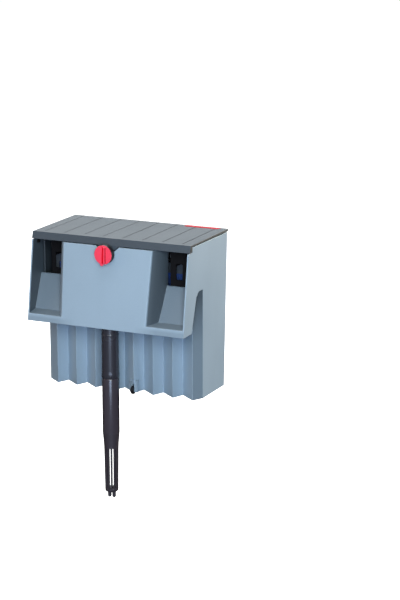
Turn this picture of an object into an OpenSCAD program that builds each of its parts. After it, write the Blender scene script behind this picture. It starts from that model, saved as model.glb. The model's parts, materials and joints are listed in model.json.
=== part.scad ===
// Hang-on-back aquarium filter: a tank that hangs on the aquarium glass, with a
// pump inside it, two filter cartridges and two outlet chutes over the glass.
// Origin: middle of the seat that rests on the glass rim. +Z up, -Y into the aquarium.

/* [Housing] */
// Width of the housing
body_w = 186; // [184:0.5:188]
// Height of the housing's top edge above the glass rim
rim_to_top = 65.3; // [65:0.1:65.6]
// Depth of the tank below the glass rim
rim_to_bottom = 104.5; // [104:0.5:112]
// Side wall thickness
side_wall = 2.8; // [2.4:0.1:3]
// Thickness of the other walls
wall = 2.2; // [2:0.1:2.4]

/* [Pleated wall] */
// Distance from one pleat to the next
pleat_pitch = 23.3; // [23.2:0.05:23.4]
// Width of a pleat's steep face
pleat_steep = 5.8; // [5:0.1:6.5]

/* [Lid] */
// Width of the lid
lid_w = 187.6; // [187:0.1:189]
// Number of grooves in the lid's top
groove_count = 8; // [4:1:8]

/* [Intake] */
// Outer radius of the fixed sleeve at its top
sleeve_r = 9.1; // [9:0.05:9.2]
// Outer radius of the sliding tube
tube_r = 9.25; // [9:0.05:9.3]
// Number of slots round the strainer
slot_count = 14; // [8:1:14]

/* [Regulator] */
// Radius of the knob
knob_r = 10.2; // [9:0.1:10.5]
// Turn of the knob's pointer away from straight down
knob_turn = 9; // [0:1:20]

/* [Pump] */
// Radius of the impeller
impeller_r = 15; // [13:0.5:16]
// Number of impeller blades
blade_count = 6; // [4:1:8]

/* [Hidden] */
$fn = 64;
eps = 0.01;
half_w = body_w / 2;
inner_x = half_w - side_wall;

// Side outline, as [Y, Z]
top_z = rim_to_top;
step_z = 59.7;
foot_z = -27;
bottom_z = -rim_to_bottom;
panel_top_y = -19.6;
panel_foot_y = -32.5;
leg_foot_y = -11.8;
leg_top = [-0.1, 10.4];
corner_y = 15.7;
bridge_z = 15.2;
floor_z = bridge_z + wall;
back_top_y = 78.4;
back_foot_y = 71.3;
panel_slope = (panel_top_y - panel_foot_y) / (step_z - foot_z);
leg_slope = (leg_top[0] - leg_foot_y) / (leg_top[1] - foot_z);
function panel_y(z) = panel_top_y - (step_z - z) * panel_slope;
function leg_y(z) = leg_foot_y + (z - foot_z) * leg_slope;
function back_y(z) =
    back_foot_y + (z - bottom_z) * (back_top_y - back_foot_y) / (top_z - bottom_z);
function arc(c, r, a0, a1, n = 8) =
    [for (i = [0 : n]) c + r * [cos(a0 + (a1 - a0) * i / n), sin(a0 + (a1 - a0) * i / n)]];

// Pleats, as [X, Y]
crest_y = 3.3;
valley_y = 16.8;
pleat_wall = 2.6;
pleat_count = 8;
first_crest = -76.7;
function pleat_line(dy) = concat(
    [[-half_w, corner_y + dy]],
    [for (i = [0 : pleat_count - 1]) each concat(
        [[first_crest + i * pleat_pitch, crest_y + dy]],
        i < pleat_count - 1
            ? [[first_crest + i * pleat_pitch + pleat_steep, valley_y + dy]]
            : [])],
    [[half_w, corner_y + dy]]);

// Middle box and outlet bays
middle_x = -1.8;
middle_half = 60.9;
middle_taper = 0.029;
saddle_x = 85;
bay_x = half_w - 1.6;
lip = [-3.2, 20.1];
lip_r = 1.6;
chute_foot = [-17.7, -16.7];
ledge_z = -19.2;
weir_back_y = 0;
dry_wall_z = 26;

// Regulator and intake
knob_z = 52.4;
barrel_y0 = -14.9;
barrel_y1 = 2;
barrel_r = 10.5;
barrel_bore = 8.1;
drum_r = 8;
drum_y0 = -12.9;
spindle_r = 3;
spindle_bore = 3.06;
port_y = -8.5;
port_r = 4.4;
riser_r = 6.6;
pipe_r = 8.5;
pipe_bore = 6.2;
bend_r = 14;
tube_y = -18.6;
sleeve_top = -14;
sleeve_foot = -83;
sleeve_bore = 8.28;
spigot_len = 10;
neck_r = 8.2;
neck_top = -26;
tube_top = -83.2;
tube_foot = -144.4;
strainer_slot_top = -161.5;
strainer_foot = -211.5;

// Pump
pump_y = 40.4;
foot_h = 2.5;
case_z0 = bottom_z + wall + foot_h;
case_z1 = -64;
base_t = 2.8;
case_x = 23;
case_y0 = 27;
case_y1 = 67.5;
case_wall = 2.4;
well_r = 8.6;
well_floor = -95;
chamber_r = 21;
chamber_z1 = -46;
socket_z1 = -36;
shaft_r = 1.25;
rotor_bore = 1.3;
magnet_r = 7.6;

// Cartridges
divider_x = 26;
divider_t = 2;
cart_x0 = 29.5;
cart_x1 = 87.5;
cart_y0 = 20.5;
cart_y1 = 38.5;
cart_z0 = bottom_z + wall;
cart_z1 = 39;
pad_z1 = 30.5;
frame_t = 2;

// Levelling cam
cam_x = 15.3;
cam_t = 2.6;
cam_r = 4.6;
cam_mid = [4.6, -101.6];
cam_pin = [7.2, -100.8];
cam_pin_r = 1.2;

// Cable outlet
cable_x = -60;
cable_z = 48;
cable_r = 3.5;
grommet_r = 6;

// A side outline, given as [Y, Z] points, made solid from x0 to x1
module across(x0, x1) {
    translate([x0, 0, 0])
        rotate([90, 0, 90])
            linear_extrude(x1 - x0)
                children();
}

module box(x, y, z) {
    translate([x[0], y[0], z[0]])
        cube([x[1] - x[0], y[1] - y[0], z[1] - z[0]]);
}

module both_sides() {
    children();
    mirror([1, 0, 0])
        children();
}

// A round bar along Y
module bar_y(r, y0, y1, z = knob_z) {
    translate([0, y0, z])
        rotate([-90, 0, 0])
            cylinder(r = r, h = y1 - y0);
}

// A round bar from one point to another
module bar_between(a, b, r) {
    d = b - a;
    translate(a)
        rotate([0, acos(d[2] / norm(d)), atan2(d[1], d[0])])
            cylinder(r = r, h = norm(d));
}

// A ring of round section about Z
module ring_z(mid_r, r) {
    rotate_extrude()
        translate([mid_r, 0])
            circle(r = r, $fn = 24);
}

// ---- Housing ----

module outer_front() {
    across(-half_w, half_w)
        polygon(concat(
            [[-11.1, top_z], [-11.1, step_z], [panel_top_y, step_z], [panel_foot_y, foot_z],
             [leg_foot_y, foot_z], leg_top],
            arc([8.2, 7.8], 7.4, 150, 97, 5),
            [[corner_y, bridge_z], [back_y(bridge_z), bridge_z], [back_top_y, top_z]]));
}

module outer_tank() {
    intersection() {
        translate([0, 0, bottom_z])
            linear_extrude(bridge_z - bottom_z + 1)
                polygon(concat(pleat_line(0), [[half_w, 90], [-half_w, 90]]));
        across(-half_w, half_w)
            polygon([[-5, bottom_z], [back_foot_y, bottom_z],
                     [back_y(bridge_z + 1), bridge_z + 1], [-5, bridge_z + 1]]);
    }
}

module saddle() {
    across(-saddle_x, saddle_x)
        polygon([[leg_y(0), 0], [valley_y + 1, 0], [valley_y + 1, bridge_z + 1],
                 [leg_top[0] - 1, bridge_z + 1], [leg_y(0) - 1, 0]]);
}

// Water space: the tank, and the room above the bridge behind the weirs
module water_space() {
    intersection() {
        translate([0, 0, bottom_z + wall])
            linear_extrude(200)
                intersection() {
                    polygon(concat(pleat_line(pleat_wall), [[half_w, 90], [-half_w, 90]]));
                    translate([-inner_x, 0])
                        square([2 * inner_x, 90]);
                }
        across(-inner_x, inner_x)
            polygon([[0, bottom_z], [back_foot_y - wall, bottom_z],
                     [back_top_y - wall, top_z + 2], [0, top_z + 2]]);
    }
    box([-inner_x, inner_x], [weir_back_y, 30], [floor_z, top_z + 2]);
    box([-saddle_x + wall, saddle_x - wall], [weir_back_y, 22], [wall, floor_z + 1]);
}

// Half of the middle box, seen from above, measured back from the panel
module middle_plan(inset) {
    flare = [[-10.6, 0], [-7.7, 3], [-5.2, 6.2], [-3, 9.7], [-1.4, 13.4], [-0.4, 17.2], [0, 21.2],
             [0, 60]];
    past_middle = -3;
    polygon(concat([[past_middle, 60], [past_middle, 0]],
                   [for (p = flare) p + [middle_half - inset, 0]]));
}

// The plan above swept down along the tilted panel, a little narrower at the foot
module middle_box(inset) {
    translate([middle_x, 0, 0])
        both_sides()
            multmatrix([[1, 0, middle_taper, 0], [0, 1, panel_slope, panel_y(0)], [0, 0, 1, 0]])
                translate([0, inset, -60])
                    linear_extrude(140)
                        middle_plan(inset);
}

// Open room over each chute, out to the front
module outlet_bays() {
    difference() {
        across(-bay_x, bay_x)
            polygon(concat(
                [[-60, ledge_z - 6], [panel_y(ledge_z), ledge_z], chute_foot],
                arc(lip + [lip_r, -lip_r], lip_r, 155, 0, 9),
                [[weir_back_y, floor_z], [4, floor_z], [4, top_z + 2], [-60, top_z + 2]]));
        middle_box(0);
    }
}

// Hollow under each chute, open below
module chute_hollows() {
    difference() {
        across(-inner_x, inner_x)
            polygon([[panel_y(foot_z) + wall, foot_z - 1], [panel_y(ledge_z) + wall, ledge_z - 2.4],
                     chute_foot + [1.7, -2.4], [-9.4, -2.2], [leg_y(-2.2) - wall, -2.2],
                     [leg_y(foot_z) - wall, foot_z - 1]]);
        middle_box(0);
    }
}

// Dry room for the intake pipe, open below
module middle_room() {
    intersection() {
        middle_box(2.3);
        across(-saddle_x, saddle_x)
            polygon([[-60, foot_z - 1], [leg_y(foot_z) - wall, foot_z - 1],
                     [leg_y(-1) - wall, -1], [weir_back_y - 2.4, -1],
                     [weir_back_y - 2.4, dry_wall_z], [10, dry_wall_z], [10, top_z + 2],
                     [-60, top_z + 2]]);
    }
}

// Notch in the panel's top that the knob's neck and the lid's tab drop into
module panel_notch() {
    translate([middle_x, 0, 0]) {
        translate([0, -40, 0])
            rotate([-90, 0, 0])
                linear_extrude(25.2)
                    polygon([[-13.8, -80], [13.8, -80], [13.8, -step_z + 0.1], [8.9, -55.2],
                             [6.3, -55.2], [6.3, -knob_z], [-6.3, -knob_z], [-6.3, -55.2],
                             [-8.9, -55.2], [-13.8, -step_z + 0.1]]);
        bar_y(6.3, -40, -14.8);
    }
}

module dividers() {
    both_sides() {
        box([divider_x, divider_x + divider_t], [14.5, cart_y1 + 3.5], [bottom_z + 1, 36]);
        box([divider_x + 1, divider_x + 6], [cart_y1 + 0.5, cart_y1 + 2.5], [bottom_z + 1, 36]);
        box([inner_x - 5, inner_x + 1], [cart_y1 + 0.5, cart_y1 + 2.5], [bottom_z + 1, 36]);
    }
}

module cam_boss() {
    box([cam_x - 4.6, cam_x + 4.6], [5, valley_y + 1], [bottom_z, bottom_z + 13.5]);
}

module cam_recess() {
    box([cam_x - cam_t / 2 - 0.2, cam_x + cam_t / 2 + 0.2], [-5, 14.8],
        [bottom_z - 5, bottom_z + 9.5]);
    translate([cam_x - 4, cam_pin[0], cam_pin[1]])
        rotate([0, 90, 0])
            cylinder(r = cam_pin_r, h = 8);
}

module housing() {
    color([0.60, 0.69, 0.77])
        difference() {
            union() {
                difference() {
                    union() {
                        outer_front();
                        outer_tank();
                        saddle();
                    }
                    water_space();
                    outlet_bays();
                    chute_hollows();
                    middle_room();
                }
                dividers();
                cam_boss();
            }
            panel_notch();
            cam_recess();
            translate([0, tube_y, foot_z - 5])
                cylinder(r = sleeve_r + 0.8, h = 20);
            translate([cable_x, 60, cable_z])
                rotate([-90, 0, 0])
                    cylinder(r = grommet_r, h = 30);
        }
}

// ---- Lid ----

lid_y0 = -15.6;
lid_y1 = 78.8;
lid_z = 68;
lid_rise = 1;
lid_under = 66.2;
fascia_z = 60.3;
fascia_y = -18;
tab_z = 56.1;

module lid_shell() {
    across(-lid_w / 2, lid_w / 2)
        polygon([[lid_y0, lid_z], [lid_y1, lid_z + lid_rise], [lid_y1, lid_under + 0.6],
                 [lid_y1 - 0.8, lid_under], [-15.2, lid_under], [-15.2, fascia_z],
                 [fascia_y, fascia_z]]);
    both_sides()
        box([lid_w / 2 - 3.4, lid_w / 2], [-15.3, -11.4], [fascia_z, lid_under + 0.5]);
}

// Tab that hangs behind the knob, cut round to clear its neck
module lid_tab() {
    translate([middle_x, 0, 0])
        difference() {
            translate([0, -18.4, 0])
                rotate([-90, 0, 0])
                    linear_extrude(2.6)
                        polygon([[-13.1, -fascia_z - 0.6], [13.1, -fascia_z - 0.6],
                                 [13.1, -fascia_z], [8.7, -tab_z], [-8.7, -tab_z],
                                 [-13.1, -fascia_z]]);
            bar_y(6.5, -25, -10);
        }
}

module lid_grooves() {
    step = body_w / groove_count;
    slope = atan(lid_rise / (lid_y1 - lid_y0));
    for (i = [0 : groove_count - 1])
        translate([(i - (groove_count - 1) / 2) * step - 0.4, lid_y0 + 5.5, lid_z - 0.5])
            rotate([slope, 0, 0])
                cube([0.8, lid_y1 - lid_y0 - 7.5, 3]);
}

module badge_plan(grow) {
    polygon([[45 - grow, 71.2 - grow], [83.8 + grow, 71.2 - grow],
             [85.8 + grow, 77.6 + grow], [46 - grow, 77.6 + grow]]);
}

// Rim under the lid that drops inside the housing and locates it
module lid_rim() {
    both_sides()
        box([inner_x - 2.3, inner_x - 0.5], [0, 75], [lid_under - 3, lid_under + 0.5]);
    box([-inner_x + 1, inner_x - 1], [73.6, 75.4], [lid_under - 3, lid_under + 0.5]);
}

module lid() {
    color([0.55, 0.59, 0.62])
        difference() {
            union() {
                lid_shell();
                lid_tab();
                lid_rim();
            }
            lid_grooves();
            translate([0, 0, lid_z + 0.2])
                linear_extrude(3)
                    badge_plan(0);
        }
}

module lid_badge() {
    color([0.85, 0.15, 0.22])
        translate([0, 0, lid_z + 0.2])
            linear_extrude(1.1)
                badge_plan(0);
}

// Small pegs inside the cheeks that the lid's ends clip against
module lid_catches() {
    color([0.12, 0.12, 0.14])
        both_sides()
            translate([inner_x - 2.6, -11.6, 56.6])
                rotate([0, 90, 0])
                    cylinder(r = 1.6, h = 2.6);
}

// ---- Regulator ----

module knob_cap() {
    color([0.93, 0.18, 0.28])
        translate([middle_x, 0, knob_z])
            rotate([90, knob_turn, 0]) {
                translate([0, 0, 28.3])
                    cylinder(r = knob_r, h = 1);
                translate([0, 0, 28.3])
                    linear_extrude(3)
                        polygon(concat([[2.9, -8.6], [1.5, 9.4], [-1.1, 9.4], [-2.9, -8.6]],
                                       arc([0, -9.8], 2.3, 190, 350, 8)));
            }
}

module knob_body() {
    color([0.13, 0.13, 0.15])
        translate([middle_x, 0, 0])
            difference() {
                bar_y(knob_r, -28.3, -22.4);
                bar_y(spindle_r, -27, -20);
            }
}

module valve_drum() {
    color([0.22, 0.22, 0.24])
        translate([middle_x, 0, 0])
            difference() {
                union() {
                    bar_y(drum_r, drum_y0, 0);
                    bar_y(spindle_r, -27, drum_y0 + 1);
                }
                bar_y(pipe_bore, drum_y0 + 2, 1);
                translate([0, port_y + 0.6, knob_z - 12])
                    cylinder(r = port_r, h = 10);
            }
}

module valve_bonnet() {
    color([0.16, 0.16, 0.18])
        translate([middle_x, 0, 0])
            difference() {
                union() {
                    bar_y(6, -22, barrel_y0);
                    bar_y(barrel_bore, barrel_y0 - eps, drum_y0 - 0.2);
                }
                bar_y(spindle_bore, -23, -10);
                bar_y(4.7, -19.2, -17.2);
            }
}

module valve_o_ring() {
    color([0.08, 0.08, 0.08])
        translate([middle_x, -18.2, knob_z])
            rotate([90, 0, 0])
                ring_z(3.88, 0.8);
}

// ---- Intake ----

module pump_bend(r) {
    translate([0, pump_y - bend_r, knob_z - bend_r])
        rotate([90, 0, 90])
            rotate_extrude(angle = 90)
                translate([bend_r, 0])
                    circle(r = r);
}

module intake_arch() {
    riser_foot = [0, tube_y, sleeve_top + 1];
    riser_top = [middle_x + 0.3, port_y, knob_z - 5.5];
    color([0.17, 0.17, 0.19])
        difference() {
            union() {
                translate([middle_x, 0, 0])
                    bar_y(barrel_r, barrel_y0, barrel_y1);
                bar_y(pipe_r, barrel_y1 - 1, pump_y - bend_r);
                pump_bend(pipe_r);
                translate([0, pump_y, socket_z1 - 9])
                    cylinder(r = pipe_r, h = knob_z - bend_r - socket_z1 + 9);
                bar_between(riser_foot, riser_top, riser_r);
                translate([0, tube_y, sleeve_top])
                    cylinder(r = sleeve_r - 0.5, h = 2.4);
                translate([0, tube_y, sleeve_top - spigot_len])
                    cylinder(r = sleeve_bore, h = spigot_len + 1);
            }
            translate([middle_x, 0, 0])
                bar_y(barrel_bore, barrel_y0 - 1, 0.1);
            bar_y(pipe_bore, -1, pump_y - bend_r + eps);
            pump_bend(pipe_bore);
            translate([0, pump_y, socket_z1 - 10])
                cylinder(r = pipe_bore, h = knob_z - bend_r - socket_z1 + 10 + eps);
            bar_between(riser_foot, riser_top, port_r);
            translate([0, tube_y, sleeve_top - spigot_len - 1])
                cylinder(r = port_r + 1, h = spigot_len + 2.5);
            translate([0, tube_y, sleeve_top - 6])
                rotate_extrude()
                    translate([sleeve_bore - 1.5, 0])
                        square([3, 2]);
        }
}

module sleeve_seal() {
    color([0.08, 0.08, 0.08])
        translate([0, tube_y, sleeve_top - 5])
            ring_z(sleeve_bore - 0.77, 0.72);
}

module intake_sleeve() {
    color([0.20, 0.20, 0.22])
        difference() {
            translate([0, tube_y, 0])
                rotate_extrude()
                    polygon([[sleeve_bore, sleeve_foot], [sleeve_r + 0.2, sleeve_foot],
                             [sleeve_r + 0.5, sleeve_foot + 0.8], [sleeve_r + 0.5, sleeve_foot + 5],
                             [sleeve_r + 0.35, sleeve_foot + 6], [sleeve_r, -36.2],
                             [sleeve_r + 0.35, -35.8], [sleeve_r + 0.35, -34.8],
                             [sleeve_r, -34.4], [sleeve_r, sleeve_top], [sleeve_bore, sleeve_top]]);
        }
}

module intake_tube() {
    color([0.16, 0.16, 0.18])
        translate([0, tube_y, 0])
            rotate_extrude()
                polygon([[6.6, tube_foot], [tube_r, tube_foot], [tube_r, tube_top - 1.4],
                         [tube_r - 0.4, tube_top], [neck_r, tube_top], [neck_r, neck_top],
                         [6.6, neck_top]]);
}

module intake_strainer() {
    slot_foot = strainer_foot + 3.9;
    slot_w = 1.45;
    color([0.24, 0.19, 0.22])
        translate([0, tube_y, 0])
            difference() {
                union() {
                    rotate_extrude()
                        polygon(concat(
                            [[0, strainer_foot]],
                            arc([4.9, strainer_foot + 2.4], 2.4, -90, 0, 6),
                            [[7.95, strainer_slot_top + 1.5], [8.2, -156], [9.2, tube_foot],
                             [7.3, tube_foot], [6.2, strainer_slot_top + 2],
                             [5.5, strainer_foot + 4.5], [0, strainer_foot + 4.5]]));
                    for (side = [-1, 1])
                        translate([side * 2.7, 0, strainer_foot - 7])
                            prong();
                }
                for (i = [0 : slot_count - 1])
                    rotate([0, 0, i * 360 / slot_count])
                        translate([3, -slot_w / 2, slot_foot])
                            cube([8, slot_w, strainer_slot_top - slot_foot]);
            }
}

module prong() {
    difference() {
        translate([0, 0, 1.6])
            cylinder(r = 2.1, h = 6);
        translate([0, 0, -1])
            cylinder(r = 0.4, h = 3);
    }
    cylinder(r1 = 1.1, r2 = 2.1, h = 1.6);
}

// ---- Pump ----

module motor_case() {
    color([0.15, 0.15, 0.17])
        difference() {
            union() {
                difference() {
                    box([-case_x, case_x], [case_y0, case_y1], [case_z0 + base_t, case_z1]);
                    box([-case_x + case_wall, case_x - case_wall],
                        [case_y0 + case_wall, case_y1 - case_wall], [case_z0, case_z1 - 4]);
                }
                translate([0, pump_y, case_z0 + base_t])
                    cylinder(r = well_r + 1, h = case_z1 - case_z0 - base_t);
            }
            translate([0, pump_y, well_floor])
                cylinder(r = well_r, h = 60);
            translate([0, pump_y, case_z0 + base_t - 1])
                cylinder(r = 3.5, h = well_floor - case_z0 - base_t + 1 + eps);
            translate([0, pump_y, case_z1 - 1.4])
                rotate_extrude()
                    translate([16.6, 0])
                        square([2, 3]);
        }
}

module motor_base() {
    color([0.15, 0.15, 0.17])
        box([-case_x, case_x], [case_y0, case_y1], [case_z0, case_z0 + base_t]);
}

core_z0 = -92;
core_z1 = -76;
arm_x0 = 10.2;
arm_x1 = 17;

module stator_core() {
    color([0.55, 0.56, 0.58]) {
        both_sides()
            box([arm_x0, arm_x1], [32, 60], [core_z0, core_z1]);
        box([-arm_x1, arm_x1], [58.6, 64.6], [core_z0, core_z1]);
    }
}

module stator_coils() {
    color([0.72, 0.42, 0.20])
        both_sides()
            difference() {
                box([arm_x0 - 2.3, arm_x1 + 2.3], [51, 58.2], [core_z0 - 2.5, core_z1 + 2.5]);
                box([arm_x0, arm_x1], [40, 70], [core_z0, core_z1]);
            }
}

module pump_feet() {
    color([0.10, 0.10, 0.10])
        for (x = [-17, 17], y = [33, 61.5])
            translate([x, y, bottom_z + wall])
                cylinder(r1 = 4.4, r2 = 3.4, h = foot_h);
}

module pump_cover() {
    mid_z = (case_z1 + chamber_z1) / 2;
    color([0.18, 0.18, 0.20])
        difference() {
            union() {
                translate([0, pump_y, case_z1])
                    cylinder(r = chamber_r, h = chamber_z1 - case_z1);
                translate([0, pump_y, chamber_z1 - 1])
                    cylinder(r = pipe_r + 2.4, h = socket_z1 - chamber_z1 + 1);
                bar_y(6, pump_y + 12, pump_y + 26, mid_z);
            }
            translate([0, pump_y, case_z1 - 1])
                cylinder(r = 16.4, h = chamber_z1 - case_z1 - 2);
            difference() {
                translate([0, pump_y, case_z1 + 5])
                    cylinder(r = pipe_bore, h = 30);
                for (a = [0, 120, 240])
                    translate([0, pump_y, chamber_z1 - 3])
                        rotate([0, 0, a])
                            translate([0, -0.8, 0])
                                cube([8, 1.6, 2.6]);
                translate([0, pump_y, chamber_z1 - 3])
                    cylinder(r = 3.8, h = 2.6);
            }
            translate([0, pump_y, chamber_z1 - 4])
                cylinder(r = 2.4, h = 3);
            translate([0, pump_y, socket_z1 - 9])
                cylinder(r = pipe_r, h = 12);
            translate([0, pump_y, socket_z1 - 6])
                rotate_extrude()
                    translate([pipe_r - 1, 0])
                        square([2.5, 2]);
            bar_y(4.5, pump_y + 10, pump_y + 27, mid_z);
        }
}

module pump_gasket() {
    color([0.08, 0.08, 0.08])
        translate([0, pump_y, case_z1 - 0.7])
            ring_z(17.6, 0.7);
}

module inlet_seal() {
    color([0.08, 0.08, 0.08])
        translate([0, pump_y, socket_z1 - 5])
            ring_z(pipe_r + 0.78, 0.72);
}

module impeller() {
    color([0.86, 0.86, 0.84])
        translate([0, pump_y, 0])
            difference() {
                union() {
                    translate([0, 0, -60.8])
                        cylinder(r = impeller_r, h = 1.4);
                    translate([0, 0, -66])
                        cylinder(r = 4.4, h = 14.6);
                    for (i = [0 : blade_count - 1])
                        rotate([0, 0, i * 360 / blade_count])
                            translate([3, -0.6, -60])
                                cube([impeller_r - 3.4, 1.2, 8]);
                }
                translate([0, 0, -70])
                    cylinder(r = rotor_bore, h = 30);
            }
}

module rotor_magnet() {
    color([0.25, 0.25, 0.27])
        translate([0, pump_y, 0])
            difference() {
                translate([0, 0, -93.6])
                    cylinder(r = magnet_r, h = 27.6);
                translate([0, 0, -95])
                    cylinder(r = rotor_bore, h = 40);
            }
}

module impeller_shaft() {
    color([0.93, 0.92, 0.88])
        translate([0, pump_y, well_floor - 1.2])
            cylinder(r = shaft_r, h = 46.2);
}

module shaft_bushings() {
    color([0.10, 0.10, 0.10])
        translate([0, pump_y, 0])
            difference() {
                union() {
                    translate([0, 0, case_z0 + base_t])
                        cylinder(r = 3.5, h = well_floor - case_z0 - base_t);
                    translate([0, 0, chamber_z1 - 4])
                        cylinder(r = 2.4, h = 3);
                }
                translate([0, 0, well_floor - 1.2])
                    cylinder(r = shaft_r, h = 46.2);
            }
}

// ---- Cartridges ----

module cartridge_frame() {
    mid_x = (cart_x0 + cart_x1) / 2;
    color([0.50, 0.54, 0.58])
        difference() {
            box([cart_x0, cart_x1], [cart_y0, cart_y1], [cart_z0, cart_z1]);
            box([cart_x0 + frame_t, cart_x1 - frame_t], [cart_y0 + frame_t, cart_y1 - frame_t],
                [cart_z0 + frame_t, pad_z1]);
            for (z = [0 : 3])
                box([cart_x0 + 5, cart_x1 - 5], [cart_y0 - 1, cart_y1 + 1],
                    [cart_z0 + 5 + z * 32.2, cart_z0 + 34 + z * 32.2]);
            box([mid_x - 14, mid_x + 14], [cart_y0 + 4, cart_y1 - 4], [pad_z1 + 3, cart_z1 + 1]);
            box([cart_x0 - 1, mid_x - 17], [cart_y0 + 4, cart_y1 - 4], [pad_z1 + 3, cart_z1 + 1]);
            box([mid_x + 17, cart_x1 + 1], [cart_y0 + 4, cart_y1 - 4], [pad_z1 + 3, cart_z1 + 1]);
        }
}

module filter_pad() {
    color([0.10, 0.32, 0.75])
        box([cart_x0 + frame_t, cart_x1 - frame_t], [cart_y0 + frame_t, cart_y1 - 6.5],
            [cart_z0 + frame_t, pad_z1]);
}

module carbon_pad() {
    color([0.12, 0.12, 0.12])
        box([cart_x0 + frame_t, cart_x1 - frame_t], [cart_y1 - 6.5, cart_y1 - frame_t],
            [cart_z0 + frame_t, pad_z1]);
}

// Black clip in the outlet channel that stops a cartridge from floating up
module cartridge_retainer() {
    color([0.10, 0.09, 0.11]) {
        difference() {
            box([62.1, 80.5], [1.5, 3.3], [floor_z - 15.2, 57]);
            box([68.4, 76.1], [0, 5], [26, 43.3]);
            box([65, 78], [0, 5], [wall, 14]);
        }
        for (x = [62.1, 76.9])
            box([x, x + 3.6], [3.2, 36], [cart_z1, cart_z1 + 3]);
    }
}

// ---- Levelling cam ----

module levelling_cam() {
    color([0.12, 0.12, 0.14])
        translate([cam_x - cam_t / 2, 0, 0])
            rotate([90, 0, 90])
                linear_extrude(cam_t)
                    difference() {
                        translate(cam_mid)
                            circle(r = cam_r);
                        translate(cam_pin)
                            circle(r = cam_pin_r + 0.05);
                    }
}

module levelling_pin() {
    color([0.30, 0.30, 0.32])
        translate([cam_x - 4, cam_pin[0], cam_pin[1]])
            rotate([0, 90, 0])
                cylinder(r = cam_pin_r, h = 8);
}

// ---- Cable outlet ----

module cable_grommet() {
    y1 = back_y(cable_z);
    color([0.09, 0.09, 0.10])
        translate([cable_x, 0, cable_z])
            rotate([-90, 0, 0])
                difference() {
                    union() {
                        translate([0, 0, y1 - 4.6])
                            cylinder(r = grommet_r, h = 5.8);
                        translate([0, 0, y1 - 4.8])
                            cylinder(r = grommet_r + 1.8, h = 2);
                        translate([0, 0, y1 + 0.6])
                            cylinder(r = grommet_r + 1.8, h = 2);
                    }
                    translate([0, 0, y1 - 6])
                        cylinder(r = cable_r, h = 12);
                }
}

housing();
lid();
lid_badge();
lid_catches();
knob_cap();
knob_body();
valve_drum();
valve_bonnet();
valve_o_ring();
intake_arch();
sleeve_seal();
intake_sleeve();
intake_tube();
intake_strainer();
motor_case();
motor_base();
stator_core();
stator_coils();
pump_feet();
pump_cover();
pump_gasket();
inlet_seal();
impeller();
rotor_magnet();
impeller_shaft();
shaft_bushings();
mirror([1, 0, 0]) cartridge_frame();  // cartridge_frame_left
cartridge_frame();  // cartridge_frame_right
mirror([1, 0, 0]) filter_pad();  // filter_pad_left
filter_pad();  // filter_pad_right
mirror([1, 0, 0]) carbon_pad();  // carbon_pad_left
carbon_pad();  // carbon_pad_right
mirror([1, 0, 0]) cartridge_retainer();  // cartridge_retainer_left
cartridge_retainer();  // cartridge_retainer_right
levelling_cam();
levelling_pin();
cable_grommet();
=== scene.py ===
"""Looks of a hang-on-back aquarium filter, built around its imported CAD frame."""
import json
import math

import bmesh
import bpy
from mathutils import Matrix, Vector, noise

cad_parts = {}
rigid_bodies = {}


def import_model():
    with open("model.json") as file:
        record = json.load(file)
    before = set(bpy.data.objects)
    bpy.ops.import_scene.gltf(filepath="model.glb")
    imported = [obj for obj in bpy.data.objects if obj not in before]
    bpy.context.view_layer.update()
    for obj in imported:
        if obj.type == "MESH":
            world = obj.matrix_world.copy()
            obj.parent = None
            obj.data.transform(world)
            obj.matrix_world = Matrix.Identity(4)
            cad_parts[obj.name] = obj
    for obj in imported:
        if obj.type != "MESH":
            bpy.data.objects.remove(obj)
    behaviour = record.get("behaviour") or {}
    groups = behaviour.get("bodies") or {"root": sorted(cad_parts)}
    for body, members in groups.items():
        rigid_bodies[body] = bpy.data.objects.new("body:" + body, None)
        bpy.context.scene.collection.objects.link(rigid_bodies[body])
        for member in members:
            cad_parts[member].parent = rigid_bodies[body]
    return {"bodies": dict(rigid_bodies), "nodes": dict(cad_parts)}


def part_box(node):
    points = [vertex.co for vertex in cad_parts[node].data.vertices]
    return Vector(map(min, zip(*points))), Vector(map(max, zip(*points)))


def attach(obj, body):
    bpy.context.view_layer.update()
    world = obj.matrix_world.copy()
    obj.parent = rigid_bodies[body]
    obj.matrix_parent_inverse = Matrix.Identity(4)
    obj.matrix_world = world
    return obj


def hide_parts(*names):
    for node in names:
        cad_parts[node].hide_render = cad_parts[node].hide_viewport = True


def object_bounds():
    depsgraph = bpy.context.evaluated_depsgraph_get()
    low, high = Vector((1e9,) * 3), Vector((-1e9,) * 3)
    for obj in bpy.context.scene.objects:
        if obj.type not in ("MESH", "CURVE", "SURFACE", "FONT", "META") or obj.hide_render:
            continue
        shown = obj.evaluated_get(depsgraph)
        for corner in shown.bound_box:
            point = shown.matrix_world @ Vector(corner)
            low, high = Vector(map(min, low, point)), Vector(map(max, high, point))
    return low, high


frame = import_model()
cad_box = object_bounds()
nodes = frame["nodes"]
scene = bpy.context.scene
MM = 0.001
SHARP = math.radians(25)     # edges that bend more than this are rounded
PANEL_SLOPE = 0.1488         # how the front panel leans back, y per z
BAY_X = 92.1 * MM            # just inside the outlet bays' outer walls
LEDGE_Z = -19 * MM           # the ledge under the bays
CHUTE_TOP = 16.5 * MM        # just below the chutes' lip
BOSS_TOP = -85 * MM          # top of the boss round the levelling cam
TUBE_TRAVEL = 40 * MM        # how far the intake tube pulls down
KNOB_R = 10.2                # mm
KNOB_TURN = math.radians(9)  # the pointer's turn at rest


# ---- Materials ----

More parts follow.
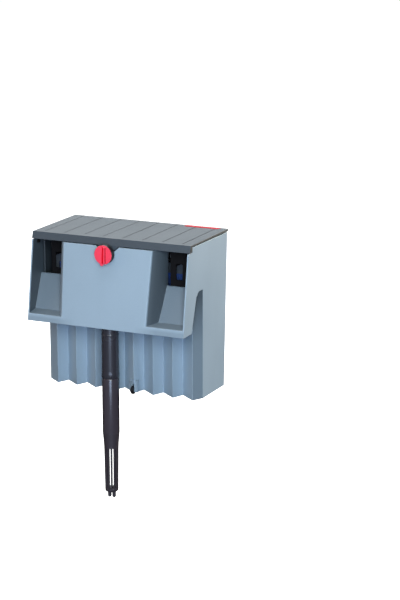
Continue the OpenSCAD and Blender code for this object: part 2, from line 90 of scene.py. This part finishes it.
class Shader:
    """One procedural material: a Principled surface and the nodes that feed it."""

    def __init__(self, name, rough=0.5, metallic=0.0, **plain):
        self.material = bpy.data.materials.new(name)
        self.material.use_nodes = True
        tree = self.material.node_tree
        self.nodes, self.links = tree.nodes, tree.links
        self.surface = self.nodes["Principled BSDF"]
        self.surface.inputs["Roughness"].default_value = rough
        self.surface.inputs["Metallic"].default_value = metallic
        for socket, value in plain.items():
            self.surface.inputs[socket.replace("_", " ")].default_value = value
        coordinates = self.nodes.new("ShaderNodeTexCoord").outputs
        self.place, self.facing = coordinates["Object"], coordinates["Normal"]

    def add(self, kind, **settings):
        """A new node of this kind with these settings."""
        node = self.nodes.new("ShaderNode" + kind)
        for key, value in settings.items():
            setattr(node, key, value)
        return node

    def noise(self, size, detail=2.0, rough=0.5, place=None):
        """Clouds whose features are about size metres across."""
        node = self.add("TexNoise")
        node.inputs["Scale"].default_value = 1 / size
        node.inputs["Detail"].default_value = detail
        node.inputs["Roughness"].default_value = rough
        self.links.new(place or self.place, node.inputs["Vector"])
        return node.outputs["Fac"]

    def split(self, vector):
        """The x, y and z of a vector."""
        node = self.add("SeparateXYZ")
        self.links.new(vector, node.inputs[0])
        return list(node.outputs)

    def stretched(self, scale):
        """The place, scaled along each axis."""
        node = self.add("Mapping")
        node.inputs["Scale"].default_value = scale
        self.links.new(self.place, node.inputs["Vector"])
        return node.outputs["Vector"]

    def ramp(self, factor, stops):
        """A colour ramp; each stop is a position and a colour."""
        node = self.add("ValToRGB")
        ramp = node.color_ramp
        while len(ramp.elements) < len(stops):
            ramp.elements.new(0.5)
        for element, (at, colour) in zip(ramp.elements, stops):
            element.position = at
            element.color = (*colour, 1)
        self.links.new(factor, node.inputs["Fac"])
        return node.outputs["Color"]

    def spread(self, factor, low, high, start=0.0, end=1.0):
        """Maps start..end onto low..high, and stays inside that."""
        node = self.add("MapRange")
        for name, value in (("From Min", start), ("From Max", end), ("To Min", low), ("To Max", high)):
            node.inputs[name].default_value = value
        self.links.new(factor, node.inputs["Value"])
        return node.outputs["Result"]

    def math(self, operation, a, b=0.0):
        """A maths node; a and b are outputs or plain numbers."""
        node = self.add("Math", operation=operation)
        for socket, value in zip(node.inputs, (a, b)):
            if hasattr(value, "links"):
                self.links.new(value, socket)
            else:
                socket.default_value = value
        return node.outputs[0]

    def mix(self, factor, a, b, mode="MIX"):
        """A colour mix; factor, a and b are outputs or plain values."""
        node = self.add("Mix", data_type="RGBA", blend_type=mode)
        for socket, value in ((node.inputs[0], factor), (node.inputs[6], a), (node.inputs[7], b)):
            if hasattr(value, "links"):
                self.links.new(value, socket)
            elif isinstance(value, tuple):
                socket.default_value = (*value, 1)
            else:
                socket.default_value = value
        return node.outputs[2]

    def rise(self, value, start, end):
        """A mask that climbs from 0 at start to 1 at end, which may be the lower of the two."""
        return self.spread(value, 0.0, 1.0, start, end)

    def both(self, *masks):
        """The product of two or more masks."""
        product = masks[0]
        for mask in masks[1:]:
            product = self.math("MULTIPLY", product, mask)
        return product

    def grey(self, mask, low, high):
        """A grey that goes from low where the mask is 0 to high where it is 1."""
        return self.mix(mask, (low,) * 3, (high,) * 3)

    def with_painted_shade(self, tone, mask, by):
        """Paints shade: the tone, multiplied by a grey where the mask is 1."""
        return self.mix(mask, tone, self.mix(1.0, tone, by, "MULTIPLY"))

    def set(self, socket, output):
        """Links an output to one of the surface's sockets."""
        self.links.new(output, self.surface.inputs[socket])
        return self

    def bump(self, height, depth, strength=1.0, after=None):
        """Bump of this depth in metres, on top of the normal in after."""
        node = self.add("Bump")
        node.inputs["Strength"].default_value = strength
        node.inputs["Distance"].default_value = depth
        self.links.new(height, node.inputs["Height"])
        if after:
            self.links.new(after, node.inputs["Normal"])
        self.links.new(node.outputs["Normal"], self.surface.inputs["Normal"])
        return node.outputs["Normal"]


def linear(r, g, b):
    """An sRGB colour, 0 to 255, as linear numbers."""
    return tuple((c / 255 / 12.92) if c <= 10 else ((c / 255 + 0.055) / 1.055) ** 2.4
                 for c in (r, g, b))


def shade(colour, k):
    """The colour made k times as bright."""
    return tuple(min(1, c * k) for c in colour)


def moulded_plastic(name, colour, rough, grain=0.00002, spread=0.03, speck=0.955,
                    painted_shade=None, **plain):
    """Spark-eroded moulded plastic: flow clouds in the colour, fine grain in the surface."""
    s = Shader(name, rough, **plain)
    flow = s.noise(0.045, 3, 0.5, s.stretched((1, 1, 0.5)))
    fine = s.noise(0.0011, 3, 0.65)
    base = s.ramp(flow, [(0.3, shade(colour, 1 - spread)), (0.7, shade(colour, 1 + spread))])
    specks = s.ramp(fine, [(0.3, (speck,) * 3), (0.7, (1.0,) * 3)])
    tone = s.mix(1.0, base, specks, "MULTIPLY")
    # painted_shade, when given, paints shade into the colour
    s.set("Base Color", painted_shade(s, tone) if painted_shade else tone)
    s.set("Roughness", s.spread(flow, rough - 0.05, rough + 0.05))
    swell = s.bump(s.noise(0.03, 1), 0.0001, 0.4)
    s.bump(fine, grain, 1.0, swell)
    return s.material


def housing_painted_shade(s, tone):
    """Paints shade into the housing's colour where light hardly reaches: the bays, the band under
    them, the cam boss and the slot's corner.
    """
    x, y, z = s.split(s.place)
    lean_x, lean_y, _ = s.split(s.facing)
    off_middle = s.math("ABSOLUTE", x)

    # Painted shade in the two outlet bays, behind the tilted panel's plane, deeper on the side walls
    # and darkest at the back; the lit flare at their inner edge stays unshaded
    behind_panel = s.math("ADD", y, s.math("MULTIPLY", z, -PANEL_SLOPE))
    over_chute = s.math("MULTIPLY", s.math("GREATER_THAN", z, CHUTE_TOP), 60 * MM)
    flare = s.both(s.math("LESS_THAN", lean_x, -0.5), s.math("LESS_THAN", lean_y, -0.5))
    bay = s.both(s.rise(behind_panel, -28.3 * MM, -26.8 * MM),
                 s.math("LESS_THAN", off_middle, BAY_X),
                 s.rise(z, LEDGE_Z - 1.5 * MM, LEDGE_Z + 0.2 * MM),
                 s.math("LESS_THAN", y, s.math("ADD", over_chute, 1.5 * MM)),
                 s.math("SUBTRACT", 1.0, flare))
    walls = s.grey(s.rise(s.math("ABSOLUTE", lean_x), 0.3, 0.8), 0.48, 0.19)
    tone = s.with_painted_shade(tone, bay, s.mix(s.rise(y, 0.0, 4 * MM), walls, (0.07,) * 3))

    # Painted shade on the band under each bay
    band = s.both(s.rise(off_middle, 35 * MM, 60 * MM), s.math("LESS_THAN", y, -20 * MM),
                  s.rise(z, LEDGE_Z - 0.5 * MM, LEDGE_Z - 4 * MM), s.math("LESS_THAN", lean_y, -0.7))
    tone = s.with_painted_shade(tone, band, (0.76,) * 3)

    # Painted shade on the boss round the levelling cam, darker on its left side
    boss = s.both(s.math("LESS_THAN", z, BOSS_TOP), s.math("LESS_THAN", lean_y, -0.95))
    tone = s.with_painted_shade(tone, boss, s.grey(s.rise(x, 14.5 * MM, 16.5 * MM), 0.5, 0.78))

    # Painted shade on the tank's front right corner, inside the slot for the glass, deepest towards
    # the top
    corner = s.both(s.rise(lean_x, 0.6, 0.8), s.rise(lean_y, -0.25, -0.4),
                    s.math("GREATER_THAN", y, 1 * MM), s.math("GREATER_THAN", x, 80 * MM))
    return s.with_painted_shade(tone, corner, s.grey(s.rise(z, -40 * MM, 8 * MM), 0.62, 0.25))


def lid_painted_shade(s, tone):
    """Paints shade on the lid's ends, which drop between the cheeks."""
    ends = s.both(s.rise(s.math("ABSOLUTE", s.split(s.facing)[0]), 0.5, 0.8),
                  s.math("GREATER_THAN", s.split(s.place)[1], -20 * MM))
    return s.with_painted_shade(tone, ends, (0.25,) * 3)


def knob_material():
    """Bright red knob with painted shade: deeper red on the grip's left flank, dark on its right one.
    """
    s = Shader("knob_red", 0.34)
    fine = s.noise(0.0011, 3, 0.65)
    base = s.ramp(fine, [(0.3, shade(KNOB, 0.98)), (0.7, shade(KNOB, 1.0))])
    # Painted shade by facing: the left flank turns a deeper red, the right flank a dark red
    lean_x, lean_y, _ = s.split(s.facing)
    left = s.both(s.rise(lean_x, -0.25, -0.45), s.rise(lean_y, -0.15, -0.3))
    tone = s.mix(left, base, linear(255, 6, 38))
    s.set("Base Color", s.mix(s.rise(lean_x, 0.45, 0.75), tone, linear(206, 36, 52)))
    s.set("Roughness", s.spread(fine, 0.3, 0.38))
    s.bump(fine, 0.00001)
    return s.material


def foam_material():
    """Blue open-cell foam, faintly stained, with painted shade in its pores."""
    s = Shader("foam_blue", 0.95, Sheen_Weight=0.25, Sheen_Roughness=0.6)
    cells = s.add("TexVoronoi")
    cells.inputs["Scale"].default_value = 1 / 0.0012
    s.links.new(s.place, cells.inputs["Vector"])
    # Painted shade: darkest at each cell's middle, where the bump sinks the pores
    pores = s.ramp(cells.outputs["Distance"], [(0.1, linear(6, 22, 72)), (0.55, linear(24, 70, 150))])
    stain = s.ramp(s.noise(0.02, 3), [(0.35, (0.85, 0.88, 0.92)), (0.65, (1, 1, 1))])
    s.set("Base Color", s.mix(1.0, pores, stain, "MULTIPLY"))
    s.bump(cells.outputs["Distance"], 0.0006)
    return s.material


def fleece_material():
    """Near-black fleece with upright fibres."""
    s = Shader("carbon_fleece", 0.97, Sheen_Weight=0.4, Sheen_Roughness=0.5)
    fibres = s.noise(0.0016, 6, 0.8, s.stretched((1, 1, 0.25)))
    greys = [(0.35, linear(20, 20, 23)), (0.6, linear(48, 48, 52)), (0.75, linear(96, 96, 98))]
    s.set("Base Color", s.ramp(fibres, greys))
    s.bump(fibres, 0.0005)
    return s.material


def lamination_material():
    """Steel sheets stacked upward, about 1 mm each at this scale of wave."""
    s = Shader("lamination_steel", 0.4, 0.9)
    sheets = s.add("TexWave", bands_direction="Z", wave_profile="SAW")
    sheets.inputs["Scale"].default_value = 314.0
    s.links.new(s.place, sheets.inputs["Vector"])
    tint = s.ramp(sheets.outputs["Fac"], [(0.0, (0.10, 0.10, 0.11)), (0.2, (0.34, 0.35, 0.37))])
    s.set("Base Color", tint)
    s.set("Roughness", s.spread(s.noise(0.002), 0.3, 0.6))
    s.bump(sheets.outputs["Fac"], 0.00008)
    return s.material


def brushed_metal(name, colour, rough):
    """Metal with fine lines drawn along x."""
    s = Shader(name, rough, 1.0)
    lines = s.noise(0.0006, 3, 0.6, s.stretched((0.08, 1, 1)))
    s.set("Base Color", s.ramp(lines, [(0.3, shade(colour, 0.85)), (0.7, colour)]))
    s.set("Roughness", s.spread(lines, rough - 0.06, rough + 0.1))
    s.bump(lines, 0.00001)
    return s.material


HOUSING = linear(153, 170, 187)
LID = linear(64, 72, 82)
KNOB = linear(255, 70, 96)
BLACK = linear(26, 24, 28)
MATERIALS = {
    "housing_grey": moulded_plastic("housing_grey", HOUSING, 0.42, painted_shade=housing_painted_shade),
    "lid_grey": moulded_plastic("lid_grey", LID, 0.5, 0.00004, speck=0.93, painted_shade=lid_painted_shade),
    "badge_red": moulded_plastic("badge_red", linear(206, 40, 56), 0.6, Specular_IOR_Level=0.2),
    "knob_red": knob_material(),
    "black_plastic": moulded_plastic("black_plastic", BLACK, 0.5, Specular_IOR_Level=0.35),
    "matte_black": moulded_plastic("matte_black", linear(13, 11, 14), 0.7, Specular_IOR_Level=0.15),
    "sleeve_black": moulded_plastic("sleeve_black", linear(52, 50, 58), 0.27, 0.00001,
                                    Specular_IOR_Level=1.0),
    "tube_black": moulded_plastic("tube_black", linear(64, 57, 64), 0.24, 0.00001),
    "strainer_black": moulded_plastic("strainer_black", linear(56, 49, 56), 0.5),
    "white_plastic": moulded_plastic("white_plastic", linear(228, 228, 222), 0.4),
    "ferrite": moulded_plastic("ferrite", linear(58, 58, 62), 0.6, 0.00003, 0.08),
    "lamination_steel": lamination_material(),
    "copper_wire": brushed_metal("copper_wire", linear(196, 112, 62), 0.3),
    "ceramic": moulded_plastic("ceramic", linear(240, 238, 230), 0.2, 0.000004, 0.01),
    "rubber_black": moulded_plastic("rubber_black", linear(30, 30, 31), 0.75, 0.00003),
    "frame_grey": moulded_plastic("frame_grey", linear(62, 68, 78), 0.55),
    "foam_blue": foam_material(),
    "carbon_fleece": fleece_material(),
    "steel_pin": brushed_metal("steel_pin", linear(190, 190, 194), 0.25),
}


# ---- Pieces ----

def body_of(node):
    """The body that a CAD node belongs to."""
    parent = nodes[node].parent
    return next(name for name, empty in frame["bodies"].items() if empty == parent)


def new_piece(name, bm, node, slot, look=None):
    """Makes a mesh object from bm that stands for a CAD node and moves with its body."""
    mesh = bpy.data.meshes.new(name)
    bm.to_mesh(mesh)
    bm.free()
    mesh.materials.append(MATERIALS[look or slot])
    mesh.polygons.foreach_set("use_smooth", [True] * len(mesh.polygons))
    piece = bpy.data.objects.new(name, mesh)
    scene.collection.objects.link(piece)
    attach(piece, body_of(node))
    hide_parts(node)
    return piece


def clean_copy(node):
    """The CAD node's shape with its flat faces whole, ready for rounded edges."""
    source = nodes[node].data
    bm = bmesh.new()
    for v in source.vertices:
        bm.verts.new(v.co)
    bm.verts.ensure_lookup_table()
    for p in source.polygons:
        try:
            bm.faces.new([bm.verts[i] for i in p.vertices])
        except ValueError:
            continue  # this face is there already
    bmesh.ops.remove_doubles(bm, verts=bm.verts, dist=2e-6)
    bmesh.ops.dissolve_limit(bm, angle_limit=math.radians(0.3), verts=bm.verts, edges=bm.edges)
    for edge in bm.edges:
        edge.smooth = edge.calc_face_angle(0) < SHARP
    return bm


def rounded(node, slot, radius, look=None):
    """The CAD node with its moulded edges rounded off by radius mm."""
    piece = new_piece(node + "_moulded", clean_copy(node), node, slot, look)
    if radius:
        bevel = piece.modifiers.new("edges", "BEVEL")
        bevel.width = radius * MM
        bevel.segments = 2
        bevel.limit_method = "ANGLE"
        bevel.angle_limit = SHARP
        bevel.use_clamp_overlap = False
        bevel.harden_normals = True
    return piece


ROUNDED = {
    "housing": ("housing_grey", 0.5), "lid": ("lid_grey", 0.3), "lid_badge": ("badge_red", 0.12),
    "lid_catches": ("black_plastic", 0.25, "matte_black"),
    "knob_body": ("black_plastic", 0.3), "valve_drum": ("black_plastic", 0.25),
    "valve_bonnet": ("black_plastic", 0.25), "valve_o_ring": ("rubber_black", 0),
    "intake_arch": ("black_plastic", 0.3), "sleeve_seal": ("rubber_black", 0),
    "intake_sleeve": ("sleeve_black", 0.15), "intake_tube": ("tube_black", 0.25),
    "intake_strainer": ("strainer_black", 0.2), "motor_case": ("black_plastic", 0.4),
    "motor_base": ("black_plastic", 0.3), "stator_core": ("lamination_steel", 0.15),
    "stator_coils": ("copper_wire", 0.3), "pump_feet": ("rubber_black", 0.25),
    "pump_cover": ("black_plastic", 0.3), "pump_gasket": ("rubber_black", 0),
    "inlet_seal": ("rubber_black", 0), "impeller": ("white_plastic", 0.2),
    "rotor_magnet": ("ferrite", 0.2), "impeller_shaft": ("ceramic", 0.15),
    "shaft_bushings": ("rubber_black", 0.2), "levelling_cam": ("black_plastic", 0.25),
    "levelling_pin": ("steel_pin", 0.15), "cable_grommet": ("rubber_black", 0.3),
    "cartridge_frame_left": ("frame_grey", 0.3), "cartridge_frame_right": ("frame_grey", 0.3),
    "cartridge_retainer_left": ("black_plastic", 0.25, "matte_black"),
    "cartridge_retainer_right": ("black_plastic", 0.25, "matte_black"),
}
for node, finish in ROUNDED.items():
    rounded(node, *finish)


def knob_cap():
    """The knob's red face: a thin disc with a wedge-shaped grip whose nose is the pointer."""
    low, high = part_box("knob_cap")
    axis = Vector(((low.x + high.x) / 2, 0, high.z - KNOB_R * MM))
    thick = (high.y - low.y) / MM
    bm = bmesh.new()
    bmesh.ops.create_cone(bm, cap_ends=True, segments=72, radius1=KNOB_R, radius2=KNOB_R, depth=1.0,
                          matrix=Matrix.Translation((0, 0, 0.5)))

    def block(foot, crest, z0, z1):
        """Joins two outlines, one above the other, into a closed block."""
        low_ring, high_ring = ([bm.verts.new((x, y, z)) for x, y in outline]
                               for outline, z in ((foot, z0), (crest, z1)))
        for i, n in ((i, (i + 1) % len(foot)) for i in range(len(foot))):
            bm.faces.new((low_ring[i], low_ring[n], high_ring[n], high_ring[i]))
        bm.faces.new(low_ring)
        bm.faces.new(high_ring)

    nose = [(3.4, -7.6), (-3.4, -7.6)]
    nose += [(2.3 * math.cos(math.radians(a)), -9.8 + 2.3 * math.sin(math.radians(a)))
             for a in range(190, 351, 20)]
    block(nose, nose, 0.1, 1.1)
    lean = Matrix.Rotation(KNOB_TURN, 2)
    foot, crest = ([lean @ Vector(p) for p in outline] for outline in (
        [(3.4, -9.4), (3.5, 8.9), (-1.0, 9.2), (-2.1, -9.4)],
        [(2.7, -8.9), (3.0, 8.2), (1.9, 8.4), (1.4, -8.9)]))
    block(foot, crest, 0.9, thick)
    bmesh.ops.recalc_face_normals(bm, faces=bm.faces)
    for edge in bm.edges:
        edge.smooth = edge.calc_face_angle(0) < math.radians(28)
    turn = Matrix.Rotation(KNOB_TURN, 4, "Y") @ Matrix.Rotation(math.radians(90), 4, "X")
    lift = Matrix.Translation((axis.x, high.y, axis.z)) @ turn @ Matrix.Scale(MM, 4)
    bmesh.ops.transform(bm, verts=bm.verts, matrix=lift)
    piece = new_piece("knob_cap_moulded", bm, "knob_cap", "knob_red")
    bevel = piece.modifiers.new("edges", "BEVEL")
    bevel.width, bevel.segments = 0.25 * MM, 2
    bevel.limit_method, bevel.angle_limit = "ANGLE", math.radians(40)
    bevel.harden_normals = True


knob_cap()


def pad(node, slot, step, relief):
    """A pad grown from its CAD box as a fine grid, then shaped point by point by relief."""
    low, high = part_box(node)
    size, middle = high - low, (low + high) / 2
    counts = [max(2, round(s / step)) for s in size]
    bm = bmesh.new()
    seen = {}

    def vert(i, j, k):
        if (i, j, k) not in seen:
            at = Vector(2 * n / c - 1 for n, c in zip((i, j, k), counts))
            seen[i, j, k] = bm.verts.new(middle + relief(at, size))
        return seen[i, j, k]

    for axis in range(3):
        u, v = (axis + 1) % 3, (axis + 2) % 3
        for side in (0, counts[axis]):
            for a in range(counts[u]):
                for b in range(counts[v]):
                    corners = []
                    for da, db in ((0, 0), (1, 0), (1, 1), (0, 1)):
                        index = [0, 0, 0]
                        index[axis], index[u], index[v] = side, a + da, b + db
                        corners.append(vert(*index))
                    bm.faces.new(corners if side else corners[::-1])
    return new_piece(node + "_soft", bm, node, slot)


def eased(at, size, radius):
    """A point of the -1..1 cube on a box of this size whose edges are rounded by radius."""
    half = size / 2
    point = Vector(a * h for a, h in zip(at, half))
    core = Vector(max(-(h - radius), min(h - radius, p)) for p, h in zip(point, half))
    out = point - core
    reach = max(abs(c) for c in out)
    return core + out.normalized() * reach if out.length > 1e-9 else point


def foam_relief(at, size):
    """Open-cell foam block: eased edges, faces a little dished, a pitted skin."""
    point = eased(at, size, 1.2 * MM)
    dish = 0.35 * MM * (1 - at.x ** 2) * (1 - at.z ** 2)
    pits = noise.noise(point / (1.9 * MM)) * 0.16 * MM
    point.y -= math.copysign(dish, at.y) if abs(at.y) > 0.99 else 0
    return point * 0.994 + Vector((pits, pits, pits)) * 0.6


def fleece_relief(at, size):
    """Quilted fleece bag: five sewn channels, pinched flat round the hem."""
    point = eased(at, size, 0.8 * MM)
    hem = max(0.0, 1 - max(abs(at.x), abs(at.z)) ** 14)
    row = (at.z + 1) * 2.5
    seam = 1 - math.exp(-((row - round(row)) * 10) ** 2)
    crown = 0.28 + 0.72 * hem * (0.35 + 0.65 * seam)
    point.y *= crown
    point.y += noise.noise(point / (4 * MM)) * 0.12 * MM * hem
    return point * 0.992


for side in ("left", "right"):
    foam = pad("filter_pad_" + side, "foam_blue", 1.6 * MM, foam_relief)
    fleece = pad("carbon_pad_" + side, "carbon_fleece", 1.4 * MM, fleece_relief)


# ---- Studio ----

def surface_of_floor():
    """Near-white floor that also glows, so that it reads as white."""
    s = Shader("studio_floor", 0.85)
    clouds = s.ramp(s.noise(0.8, 2), [(0.3, (0.86,) * 3), (0.7, (0.88,) * 3)])
    s.set("Base Color", clouds)
    s.surface.inputs["Emission Color"].default_value = (1, 1, 1, 1)
    s.surface.inputs["Emission Strength"].default_value = 1.0
    return s.material


def studio():
    """A white floor and background, and softboxes all round."""
    low = cad_box[0]
    bm = bmesh.new()
    bmesh.ops.create_grid(bm, x_segments=8, y_segments=8, size=40)
    # Just below the intake with its tube pulled all the way down
    bmesh.ops.translate(bm, verts=bm.verts, vec=(0, 4, low.z - TUBE_TRAVEL - 2 * MM))
    mesh = bpy.data.meshes.new("floor")
    bm.to_mesh(mesh)
    bm.free()
    mesh.materials.append(surface_of_floor())
    floor = bpy.data.objects.new("floor", mesh)
    floor.visible_diffuse = False
    floor.visible_glossy = False
    scene.collection.objects.link(floor)

    # White to the camera, nearly dark to everything else
    world = bpy.data.worlds.new("studio")
    scene.world = world
    world.use_nodes = True
    sky = world.node_tree.nodes["Background"]
    sky.inputs["Color"].default_value = (1, 1, 1, 1)
    seen = world.node_tree.nodes.new("ShaderNodeLightPath").outputs["Is Camera Ray"]
    strength = world.node_tree.nodes.new("ShaderNodeMapRange")
    strength.inputs["To Min"].default_value = 0.02
    strength.inputs["To Max"].default_value = 1.0
    world.node_tree.links.new(seen, strength.inputs["Value"])
    world.node_tree.links.new(strength.outputs["Result"], sky.inputs["Strength"])

    middle = Vector((0, 0.02, -0.02))

    def softbox(name, azimuth, elevation, size, power, distance=1.6):
        """A softbox aimed at the middle. Azimuth 0 is in front, 90 is +x; power is per colour."""
        turn, rise = math.radians(azimuth), math.radians(elevation)
        away = Vector((math.sin(turn) * math.cos(rise),
                       -math.cos(turn) * math.cos(rise),
                       math.sin(rise)))
        lamp = bpy.data.lights.new(name, "AREA")
        lamp.shape = "RECTANGLE"
        lamp.size, lamp.size_y = size
        lamp.energy = max(power)
        lamp.color = [p / max(power) for p in power]
        holder = bpy.data.objects.new(name, lamp)
        holder.location = middle + away * distance
        holder.rotation_euler = (-away).to_track_quat("-Z", "Y").to_euler()
        scene.collection.objects.link(holder)

    softbox("softbox_key", 30, 20, (0.6, 0.8), (14.5, 16.5, 15.8))
    softbox("softbox_low", 25, 0, (0.7, 0.36), (6, 7.7, 10.8))
    softbox("softbox_front", 0, 25, (0.6, 0.8), (4.2, 4.4, 4.4))
    softbox("softbox_left", -60, 20, (0.6, 0.8), (3.3, 2.4, 1.6))
    softbox("softbox_right", 146, 15, (0.5, 0.8), (28, 27, 24))
    softbox("softbox_rear_left", -125, 15, (0.5, 0.8), (12, 12, 12))
    softbox("softbox_back", 203, 35, (0.9, 0.8), (8, 8.8, 9.2))
    softbox("softbox_top", 0, 88, (1.0, 0.9), (8, 8, 8), 1.2)


def camera():
    """The camera that the photo's view was matched with."""
    data = bpy.data.cameras.new("camera")
    data.lens = 108.9
    data.sensor_width = 36
    data.clip_start, data.clip_end = 0.05, 60
    eye = bpy.data.objects.new("camera", data)
    eye.location = (0.87378, -1.67135, 0.45838)
    eye.rotation_euler = (math.radians(76.26), 0, math.radians(24.93))
    scene.collection.objects.link(eye)
    scene.camera = eye


studio()
camera()
scene.view_settings.view_transform = "Standard"
scene.view_settings.look = "None"
